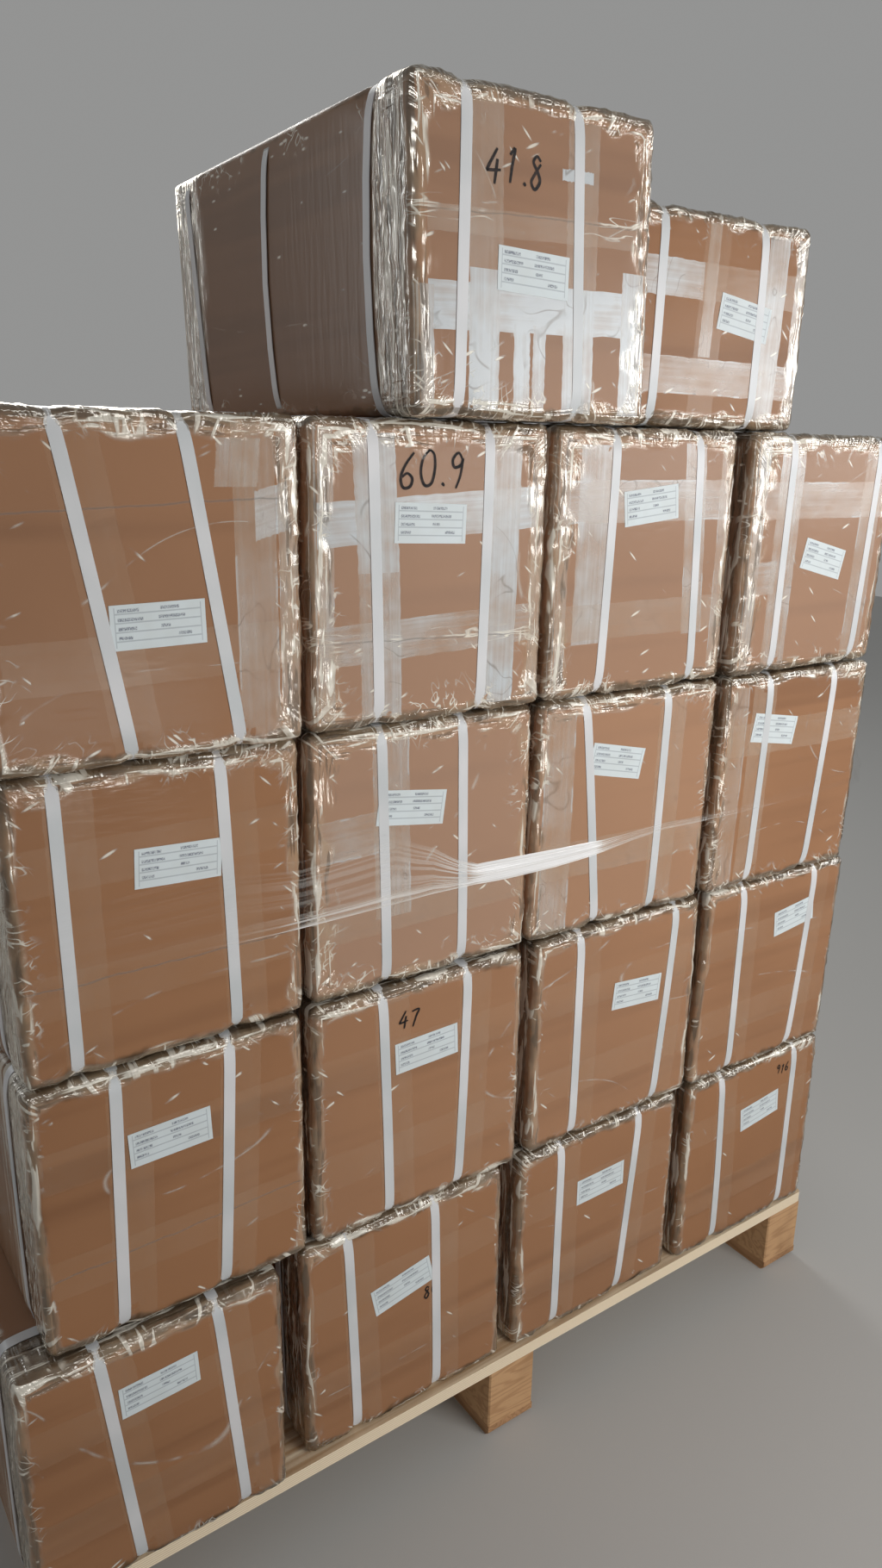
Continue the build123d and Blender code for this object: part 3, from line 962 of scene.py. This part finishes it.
def dress(name, cartons, film):
    """One piece holding the board bodies, or the film skins, of several cartons."""
    bm = bmesh.new()
    layers = {key: bm.verts.layers.float.new(key) for key in looks(cartons[0], 0, 0, 0)}
    crease_layer = bm.verts.layers.float_vector.new("crease")
    ridge = sizes().ridge / MM
    start = 0
    for carton in cartons:
        step = sizes().mesh_step / MM * (1.0 if carton.front else BACK_COARSER)
        bm.from_mesh(carton_block(carton.depth, carton.height, step))
        bm.verts.ensure_lookup_table()
        for vert in bm.verts[start:]:
            x, y, z = vert.co
            seen = looks(carton, x, y, z)
            for key, value in seen.items():
                vert[layers[key]] = value
            lift = 0.0
            if film:
                crease = crease_place(carton, x, y, z)
                vert[crease_layer] = crease
                raised = seen["rim"] * strap_clearance(carton, x, y, z) * ridge_height(crease)
                lift = FILM_LIFT + ridge * raised
            vert.co = lifted(carton, x, y, z, lift)
        start = len(bm.verts)
    for face in bm.faces:
        face.smooth = True
    return make_piece(name, bm)


# Tape, straps, labels and numbers


def thicken(bm, thickness):
    """Gives a sheet or band its thickness, with crisp side edges."""
    bmesh.ops.solidify(bm, geom=bm.faces[:], thickness=thickness)
    even_faces(bm)
    for face in bm.faces:
        face.smooth = min(e.calc_length() for e in face.edges) > thickness * 1.2
    for edge in bm.edges:
        edge.smooth = all(face.smooth for face in edge.link_faces)


def flat_piece(name, bm, thickness):
    """A piece of loose strips on the cartons' ends, each turned away from the load's middle."""
    even_faces(bm)
    turned = [f for f in bm.faces if f.normal.y * f.calc_center_median().y < 0]
    if turned:
        bmesh.ops.reverse_faces(bm, faces=turned)
    thicken(bm, thickness * MM)
    return make_piece(name, bm)


def strip(bm, layers, uv_layer, carton, tape, lift):
    """One strip of tape over a carton's outer end, pressed onto it."""
    kind, first, second, width, start, end, tone = tape
    verts = bmesh.ops.create_grid(bm, x_segments=24, y_segments=5, size=0.5, calc_uvs=True)["verts"]
    rng = random.Random(carton.seed * 31 + int(first) + int(width))
    for vert in verts:
        s, t = vert.co.x + 0.5, vert.co.y
        ragged = rng.uniform(-0.6, 0.6) if abs(t) > 0.49 else 0.0
        if kind == "across":
            x = start + (end - start) * s - WIDTH / 2
            z = first + (second - first) * s + t * width + ragged
        else:
            z = start + (end - start) * s
            x = second + (first - second) * s - WIDTH / 2 + t * width + ragged
        x = max(-WIDTH / 2 + 1.0, min(WIDTH / 2 - 1.0, x))
        z = max(1.0, min(carton.height - 1.0, z))
        vert.co = on_end(carton, x, z, lift)
        vert[layers[0]], vert[layers[1]] = tone, t
    for face in {f for v in verts for f in v.link_faces}:
        for loop in face.loops:
            u = loop[uv_layer].uv
            u.x, u.y = u.x * (end - start) * MM, u.y * width * MM


def tape_piece(name, cartons):
    bm = bmesh.new()
    layers = [bm.verts.layers.float.new(key) for key in ("tone", "across")]
    uv_layer = bm.loops.layers.uv.new("Strip")
    for carton in cartons:
        for index, tape in enumerate(carton.tapes):
            strip(bm, layers, uv_layer, carton, tape, TAPE_LIFT + TAPE_STEP * index)
    return flat_piece(name, bm, TAPE_THICK)


@cache
def strap_ring(length, height, cuts):
    """A strap loop in its own frame: length along Y, height along Z, its width along X."""
    bm = bmesh.new()
    corners = [
        bm.verts.new((-STRAP / 2, y, z)) for y, z in ((0, 0), (length, 0), (length, height), (0, height))
    ]
    bm.faces.new(corners)
    bmesh.ops.bevel(
        bm, geom=corners, offset=sizes().round_edge / MM + 1.0, offset_type="OFFSET", segments=5,
        profile=0.5, affect="VERTICES", material=-1,
    )
    long_edges = [e for e in bm.edges if e.calc_length() > 60]
    bmesh.ops.subdivide_edges(bm, edges=long_edges, cuts=cuts)
    rim = bm.edges[:]
    bmesh.ops.delete(bm, geom=bm.faces[:], context="FACES_ONLY")
    made = bmesh.ops.extrude_edge_only(bm, edges=rim)
    moved = [g for g in made["geom"] if isinstance(g, bmesh.types.BMVert)]
    bmesh.ops.translate(bm, vec=(STRAP, 0, 0), verts=moved)
    cut(bm, 1, [p for n in RING_CUTS for p in (n, length - n)])
    cut(bm, 2, [p for n in RING_CUTS for p in (n, height - n)])
    even_faces(bm)
    return stored(bm, "strap_ring")


def add_ring(bm, uv_layer, ring, shape):
    """Adds a strap ring, with each of its points put in the load by shape."""
    start, first = len(bm.verts), len(bm.faces)
    bm.from_mesh(ring)
    bm.verts.ensure_lookup_table()
    bm.faces.ensure_lookup_table()
    for face in bm.faces[first:]:
        for loop in face.loops:
            x, y, z = loop.vert.co
            loop[uv_layer].uv = ((y + z) * MM, (x + STRAP / 2) * MM)
    for vert in bm.verts[start:]:
        vert.co = shape(*vert.co)


def long_ring(carton, ends):
    """Puts a lengthwise ring round a carton: slanted as its ends say, hugging the bitten edges."""

    def shape(s, y, z):
        x = strap_x(ends, max(0.0, min(carton.height, z)), carton.height)
        px, py, pz = pressed(carton, x, y, z)
        out = outward(carton, x, y, z)
        return to_load(carton, px + s, py + out[1] * STRAP_LIFT, pz + out[2] * STRAP_LIFT)

    return shape


def girth_ring(carton, index):
    """Puts a girth ring round a carton, over the lengthwise straps."""
    lift = STRAP_LIFT + STRAP_THICK

    def shape(s, across_width, z):
        x = across_width - WIDTH / 2
        y = girth_y(carton, index, x, z)
        px, py, pz = pressed(carton, x, y, z)
        out = outward(carton, x, y, z)
        return to_load(carton, px + out[0] * lift, py + s, pz + out[2] * lift)

    return shape


def long_rings(carton):
    """The lengthwise rings of a carton, each with its length, cuts and shape."""
    return [(carton.depth, 8 if carton.front else 3, long_ring(carton, ends)) for ends in carton.straps]


def girth_rings(carton):
    return [(WIDTH, 3, girth_ring(carton, index)) for index in range(3)]


def straps_piece(name, cartons, rings):
    bm = bmesh.new()
    uv_layer = bm.loops.layers.uv.new("Strap")
    for carton in cartons:
        for length, cuts, shape in rings(carton):
            add_ring(bm, uv_layer, strap_ring(length, carton.height, cuts), shape)
    even_faces(bm)
    thicken(bm, STRAP_THICK * MM)
    return make_piece(name, bm)


def labels_piece(name, cartons):
    bm = bmesh.new()
    bm.loops.layers.uv.new("Label")
    for carton in cartons:
        if carton.label is None:
            continue
        middle, height, tilt = carton.label
        made = bmesh.ops.create_grid(bm, x_segments=14, y_segments=7, size=0.5, calc_uvs=True)
        c, s = math.cos(math.radians(tilt)), math.sin(math.radians(tilt))
        for vert in made["verts"]:
            a, b = vert.co.x * LABEL[0], vert.co.y * LABEL[1]
            curl = 0.35 * max(0.0, noise.noise(Vector((a / 30, b / 18, carton.seed * 2.7))))
            x = middle - WIDTH / 2 + c * a - s * b
            vert.co = on_end(carton, x, height + s * a + c * b, LABEL_LIFT + curl)
    return flat_piece(name, bm, LABEL_THICK)


# strokes of plain numbers, each on a 10 by 16 field
STROKES = {
    "0": ((5, 15.5, 2, 12, 1.5, 6, 4, 1, 7.5, 2, 8.5, 8, 7.5, 13.5, 5, 15.5),),
    "1": ((3.5, 12.5, 6, 15.5, 5.2, 8, 4.8, 0.5),),
    "4": ((6, 15.5, 1.5, 7, 2, 5.8, 9, 6.6), (6.6, 11, 6.0, 0.2)),
    "6": ((7.5, 15.2, 3.6, 10, 2, 5, 3.6, 1, 7, 1.4, 7.8, 4.6, 5, 6.8, 2.6, 5.2),),
    "7": ((1.5, 14.2, 8, 15, 6, 9, 3.8, 0.5),),
    "8": ((7, 13.4, 4.4, 15.4, 2.6, 12.6, 5.6, 8.8, 7.6, 4.6, 5, 0.8, 2.4, 3.8, 4.2, 7.6, 7.2, 12.2),),
    "9": ((7.6, 12.6, 5, 15.4, 2.4, 12.6, 3.6, 9.4, 7, 10.4, 7.7, 13.2, 7.2, 6, 5.4, 0.6),),
    ".": ((2.4, 1.8, 3.8, 0.6),),
}

# how far a numeral leans to the right for its height
SLANT = 0.12

# carton, text, place of its lower left corner, height of a numeral and pen width
NUMBERS = (
    (TALL, "41.8", 74, 199, 30, 2.9),
    (front_carton(3, 1), "60.9", 92, 228, 36, 3.0),
    (front_carton(1, 1), "47", 104, 238, 22, 2.4),
    (front_carton(0, 1), "80", 158, 150, 18, 2.2),
    (front_carton(0, 3), "916", 184, 250, 15, 2.0),
)


def curve_points(path):
    """Points close together on a smooth curve through the path's points."""
    dense = []
    for i in range(len(path) - 1):
        p0, p1 = path[max(0, i - 1)], path[i]
        p2, p3 = path[i + 1], path[min(len(path) - 1, i + 2)]
        linear, square, cubic = p2 - p0, 2 * p0 - 5 * p1 + 4 * p2 - p3, 3 * p1 - p0 - 3 * p2 + p3
        for k in range(5):
            t = k / 5
            dense.append(0.5 * (2 * p1 + linear * t + square * t * t + cubic * t ** 3))
    return dense + [path[-1]]


def pen_line(bm, carton, path, pen):
    """One stroke: an edge drawn along the points, tapering at both ends."""
    dense = curve_points(path)
    edge = None
    for i, point in enumerate(dense):
        ahead = dense[min(len(dense) - 1, i + 1)] - dense[max(0, i - 1)]
        side = Vector((-ahead.y, ahead.x)).normalized() * pen / 2
        side *= 0.7 + 0.3 * math.sin(math.pi * min(1.0, (i + 1) / len(dense)))
        ends = [on_end(carton, q.x, q.y, INK_LIFT) for q in (point + side, point - side)]
        if edge is None:
            edge = bm.edges.new([bm.verts.new(e) for e in ends])
            order = list(edge.verts)
            continue
        made = bmesh.ops.extrude_edge_only(bm, edges=[edge])
        edge = next(g for g in made["geom"] if isinstance(g, bmesh.types.BMEdge))
        new = list(edge.verts)
        linked = {v: next(e.other_vert(v) for e in v.link_edges if e.other_vert(v) in order) for v in new}
        for v in new:
            v.co = ends[order.index(linked[v])]
        order = [next(v for v in new if linked[v] is o) for o in order]


def numbers_piece():
    bm = bmesh.new()
    for carton, text, left, low, tall, pen in NUMBERS:
        scale = tall / 16
        shift = left - WIDTH / 2
        for index, sign in enumerate(text):
            foot = low + 1.5 * math.sin(index * 2.1 + tall)
            for stroke in STROKES[sign]:
                spots = zip(stroke[::2], stroke[1::2])
                path = [Vector((shift + (a + SLANT * b) * scale, foot + b * scale)) for a, b in spots]
                pen_line(bm, carton, path, pen)
            shift += (4.5 if sign == "." else 10.5) * scale
    return flat_piece("marker_numbers", bm, INK_THICK)


# the band along the front: X, lower edge, upper edge, paleness, distance in front of the load
BAND_FRONT = (
    (-592, 820, 880, 0.00, 0), (-450, 818, 888, 0.00, 0), (-373, 815, 893, 0.02, 0),
    (-304, 814, 884, 0.12, 1), (-250, 815, 890, 0.12, 3), (-198, 816, 896, 0.10, 3),
    (-150, 817, 872, 0.16, 3), (-118, 816, 850, 0.30, 3), (-92, 815, 839, 0.62, 3),
    (-66, 813, 838, 0.90, 3), (-40, 812, 837, 0.95, 3), (20, 812, 834, 0.95, 3),
    (70, 814, 832, 0.90, 3), (96, 816, 831, 0.50, 3), (140, 821, 832, 0.34, 3),
    (200, 825, 833, 0.26, 2), (260, 823, 830, 0.22, 1), (330, 821, 828, 0.08, 0),
    (430, 820, 838, 0.00, 0), (596, 822, 850, 0.00, 0),
)

# rows of faces up the band, and where its ring turns before each corner of the load
BAND_ROWS = 6
BAND_CORNER = 14


def band_ring():
    """Stations round the band: X, Y, lower edge, upper edge and paleness."""
    low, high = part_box("stretch_film_band")
    left, front, foot = (value / MM for value in low)
    right, back, head = (value / MM for value in high)
    ring = [(x, front + 2 - out, bottom, top, pale) for x, bottom, top, pale, out in BAND_FRONT]
    for x, y, raised, lowered, pale in (
        (right, front + BAND_CORNER, 4, 18, 0.0),
        (right, 0, 0, 0, 0.0),
        (right, back - BAND_CORNER, 0, 0, 0.0),
        (right - BAND_CORNER, back, 0, 0, 0.0),
        (0, back, 3, 2, 0.02),
        (left + BAND_CORNER, back, 0, 0, 0.0),
        (left, back - BAND_CORNER, 0, 0, 0.0),
        (left, 0, 0, 0, 0.0),
        (left, front + BAND_CORNER, 2, 4, 0.0),
    ):
        ring.append((x, y, foot + raised, head - lowered, pale))
    return ring


def band_piece():
    """The loose band round the layer, wide and sheer at the left, gathered to a cord at the right."""
    bm = bmesh.new()
    tone_layer = bm.verts.layers.float.new("tone")
    uv_layer = bm.loops.layers.uv.new("Band")
    columns, place, length, last = [], {}, 0.0, None
    for x, y, bottom, top, pale in band_ring():
        if last:
            length += math.hypot(x - last[0], y - last[1])
        last = (x, y)
        column = []
        for k in range(BAND_ROWS + 1):
            share = k / BAND_ROWS
            wave = 1.2 * math.sin(share * 9 + x * 0.03)
            z = bottom + (top - bottom) * share
            vert = bm.verts.new((x * MM, (y - wave * 0.5) * MM, z * MM))
            vert[tone_layer] = max(pale, 0.66 * min(1.0, pale * 9)) if k == 0 else pale
            place[vert] = (length * MM, share)
            column.append(vert)
        columns.append([bm.edges.new(pair) for pair in zip(column, column[1:])])
    for i, column in enumerate(columns):
        bmesh.ops.bridge_loops(bm, edges=column + columns[(i + 1) % len(columns)])
    for face in bm.faces:
        face.smooth = True
        for loop in face.loops:
            loop[uv_layer].uv = place[loop.vert]
    even_faces(bm)
    return make_piece("stretch_band", bm)


def groups():
    """The cartons of each layer and of the top, by the name that their pieces share."""
    return [(f"layer_{n + 1}", layer_cartons(n)) for n in range(4)] + [("top", [TALL, LOW])]


class LoadOperator:
    bl_options = {"REGISTER"}


class LOAD_OT_boards(LoadOperator, bpy.types.Operator):
    """Makes the cartons' board bodies"""

    bl_idname = "load.boards"
    bl_label = "Board bodies"

    def execute(self, context):
        material = board_finish()
        bodies = [(f"boards_{name}", f"cartons_{name}", cartons) for name, cartons in groups()[:-1]]
        bodies += [("board_tall", "top_carton_tall", [TALL]), ("board_low", "top_carton_low", [LOW])]
        for name, node, cartons in bodies:
            piece = dress(name, cartons, film=False)
            paint(piece, material)
            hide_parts(node)
        return {"FINISHED"}


class LOAD_OT_films(LoadOperator, bpy.types.Operator):
    """Makes the shrink film round each carton"""

    bl_idname = "load.films"
    bl_label = "Film skins"

    def execute(self, context):
        material = film_finish()
        for name, cartons in groups()[:-1] + [("tall", [TALL]), ("low", [LOW])]:
            piece = dress(f"film_{name}", cartons, film=True)
            paint(piece, material)
            clear_to_light(piece)
        return {"FINISHED"}


class LOAD_OT_tapes(LoadOperator, bpy.types.Operator):
    """Makes the packing tape on the carton ends"""

    bl_idname = "load.tapes"
    bl_label = "Packing tape"

    def execute(self, context):
        material = tape_finish()
        for name, cartons in groups():
            piece = tape_piece(f"tape_{name}", cartons)
            paint(piece, material)
            clear_to_light(piece)
        return {"FINISHED"}


class LOAD_OT_straps(LoadOperator, bpy.types.Operator):
    """Makes the plastic straps"""

    bl_idname = "load.straps"
    bl_label = "Straps"

    def execute(self, context):
        material = strap_finish()
        for name, cartons in groups():
            for kind, rings in (("long", long_rings), ("girth", girth_rings)):
                piece = straps_piece(f"{kind}_bands_{name}", cartons, rings)
                paint(piece, material)
                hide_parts(f"{kind}_straps_{name}")
        return {"FINISHED"}


class LOAD_OT_labels(LoadOperator, bpy.types.Operator):
    """Makes the paper labels and the marker numbers"""

    bl_idname = "load.labels"
    bl_label = "Labels and numbers"

    def execute(self, context):
        material = label_finish()
        for name, cartons in groups():
            piece = labels_piece(f"ruled_labels_{name}", cartons)
            paint(piece, material)
            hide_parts(f"labels_{name}")
        numbers = numbers_piece()
        paint(numbers, ink_finish())
        return {"FINISHED"}


class LOAD_OT_band(LoadOperator, bpy.types.Operator):
    """Makes the loose film band round the third layer"""

    bl_idname = "load.band"
    bl_label = "Film band"

    def execute(self, context):
        piece = band_piece()
        paint(piece, band_finish())
        clear_to_light(piece)
        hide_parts("stretch_film_band")
        return {"FINISHED"}


class LOAD_OT_pallet(LoadOperator, bpy.types.Operator):
    """Gives the pallet its wood"""

    bl_idname = "load.pallet"
    bl_label = "Pallet wood"

    def execute(self, context):
        pine = tuple(colours().pine)
        woods = {
            "block": wood_finish(
                "block_pine_wood", pine, (0.40, 0.21, 0.095), (4.0, 22.0, 34.0), (0, 0.25, 0)
            ),
            "bottom_board": wood_finish(
                "board_pine_wood", (0.50, 0.28, 0.14), (0.30, 0.15, 0.065), (30.0, 2.0, 40.0)
            ),
            "deck": plywood_finish(),
        }
        for name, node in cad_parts.items():
            for prefix, material in woods.items():
                if name.startswith(prefix):
                    paint(node, material)
        return {"FINISHED"}


def add_light(name, spot, aim, width, height, power, colour, unseen):
    """An area light; unseen says which kind of surface doesn't show it."""
    data = bpy.data.lights.new(name, "AREA")
    data.shape = "RECTANGLE"
    data.size, data.size_y = width, height
    data.energy = power
    data.color = colour
    light = bpy.data.objects.new(name, data)
    bpy.context.scene.collection.objects.link(light)
    light.location = spot
    light.rotation_euler = (Vector(aim) - Vector(spot)).to_track_quat("-Z", "Y").to_euler()
    light.visible_camera = False
    light.visible_glossy = unseen != "glossy"
    light.visible_diffuse = unseen != "diffuse"


def camera_place(spot, yaw, pitch, roll):
    """A camera turned right by yaw from +Y, down by pitch, and rolled."""
    y, p, r = (math.radians(a) for a in (yaw, pitch, roll))
    ahead = Vector((math.sin(y), math.cos(y), 0))
    right = Vector((math.cos(y), -math.sin(y), 0))
    up = Vector((0, 0, 1))
    look = math.cos(p) * ahead - math.sin(p) * up
    head = math.sin(p) * ahead + math.cos(p) * up
    right, head = math.cos(r) * right + math.sin(r) * head, -math.sin(r) * right + math.cos(r) * head
    return Matrix.Translation(spot) @ Matrix((right, head, -look)).transposed().to_4x4()


class LOAD_OT_stage(LoadOperator, bpy.types.Operator):
    """Makes the floor, the lights and the camera"""

    bl_idname = "load.stage"
    bl_label = "Stage"

    def execute(self, context):
        scene = context.scene
        settings = scene.load_stage
        bm = bmesh.new()
        bmesh.ops.create_grid(bm, x_segments=1, y_segments=1, size=9.0)
        floor = bpy.data.objects.new("floor", stored(bm, "floor"))
        scene.collection.objects.link(floor)
        paint(floor, floor_finish())
        scene.world = bpy.data.worlds.new("studio")
        scene.world.use_nodes = True
        sky = scene.world.node_tree.nodes["Background"].inputs
        sky[0].default_value = (0.84, 0.84, 0.83, 1)
        sky[1].default_value = settings.sky
        key, window, glint, back = settings.key, settings.window, settings.glint, settings.back
        aim, side_aim = (0.0, -0.3, 1.1), (-0.19, -0.5, 1.4)
        plain, warm, cool = (1.0, 1.0, 1.0), (1.0, 0.975, 0.94), (0.93, 0.97, 1.0)
        for light in (
            ("key", (0.50, -1.88, 1.10), (0.32, -0.55, 1.02), 0.9, 0.8, key, warm, "glossy"),
            ("window", (2.9, -3.1, 1.5), (0.0, -0.5, 1.3), 2.6, 0.9, window, (0.95, 0.97, 1.0), "diffuse"),
            ("glint_high", (0.3, -2.0, 3.1), aim, 2.6, 0.3, glint, plain, "diffuse"),
            ("glint_left", (-2.6, -1.6, 2.2), aim, 1.4, 0.3, glint, plain, "diffuse"),
            ("glint_right", (3.2, -1.6, 2.4), aim, 1.6, 0.3, glint, plain, "diffuse"),
            ("glint_low", (-0.2, -3.6, 0.25), aim, 2.2, 0.3, glint, plain, "diffuse"),
            ("glint_side", (-1.9, 2.1, 1.9), side_aim, 0.4, 1.5, 0.45 * glint, cool, "diffuse"),
            ("back", (0.6, 3.2, 2.9), (0.0, 0.5, 0.7), 1.8, 1.8, back, (1.0, 0.98, 0.95), None),
        ):
            add_light(*light)
        camera_data = bpy.data.cameras.new("camera")
        camera_data.lens = settings.lens
        camera_data.sensor_width = 36.0
        camera_data.clip_start = 0.05
        camera = bpy.data.objects.new("camera", camera_data)
        scene.collection.objects.link(camera)
        camera.matrix_world = camera_place((-0.7662, -1.4503, 1.2639), 35.12, 16.74, 0.96)
        scene.camera = camera
        scene.view_settings.view_transform = "Standard"
        return {"FINISHED"}


class LOAD_PT_panel(bpy.types.Panel):
    """Lists the load's pieces"""

    bl_idname = "LOAD_PT_panel"
    bl_label = "Strapped carton load"
    bl_space_type = "VIEW_3D"
    bl_region_type = "UI"
    bl_category = "Load"

    def draw(self, context):
        for operator in OPERATORS:
            self.layout.operator(operator.bl_idname)
        for group in (context.scene.load_sizes, context.scene.load_colours, context.scene.load_stage):
            for name in group.bl_rna.properties.keys():
                if name not in {"rna_type", "name"}:
                    self.layout.prop(group, name)


OPERATORS = (
    LOAD_OT_boards,
    LOAD_OT_films,
    LOAD_OT_tapes,
    LOAD_OT_straps,
    LOAD_OT_labels,
    LOAD_OT_band,
    LOAD_OT_pallet,
    LOAD_OT_stage,
)
CLASSES = (LoadSizes, LoadColours, LoadStage, *OPERATORS, LOAD_PT_panel)


def register():
    noise.seed_set(NOISE_SEED)
    for item in CLASSES:
        bpy.utils.register_class(item)
    bpy.types.Scene.load_sizes = bpy.props.PointerProperty(type=LoadSizes)
    bpy.types.Scene.load_colours = bpy.props.PointerProperty(type=LoadColours)
    bpy.types.Scene.load_stage = bpy.props.PointerProperty(type=LoadStage)


def unregister():
    del bpy.types.Scene.load_stage
    del bpy.types.Scene.load_colours
    del bpy.types.Scene.load_sizes
    for item in reversed(CLASSES):
        bpy.utils.unregister_class(item)


def main():
    register()
    for operator in OPERATORS:
        group, name = operator.bl_idname.split(".")
        getattr(getattr(bpy.ops, group), name)()


if __name__ == "__main__":
    main()
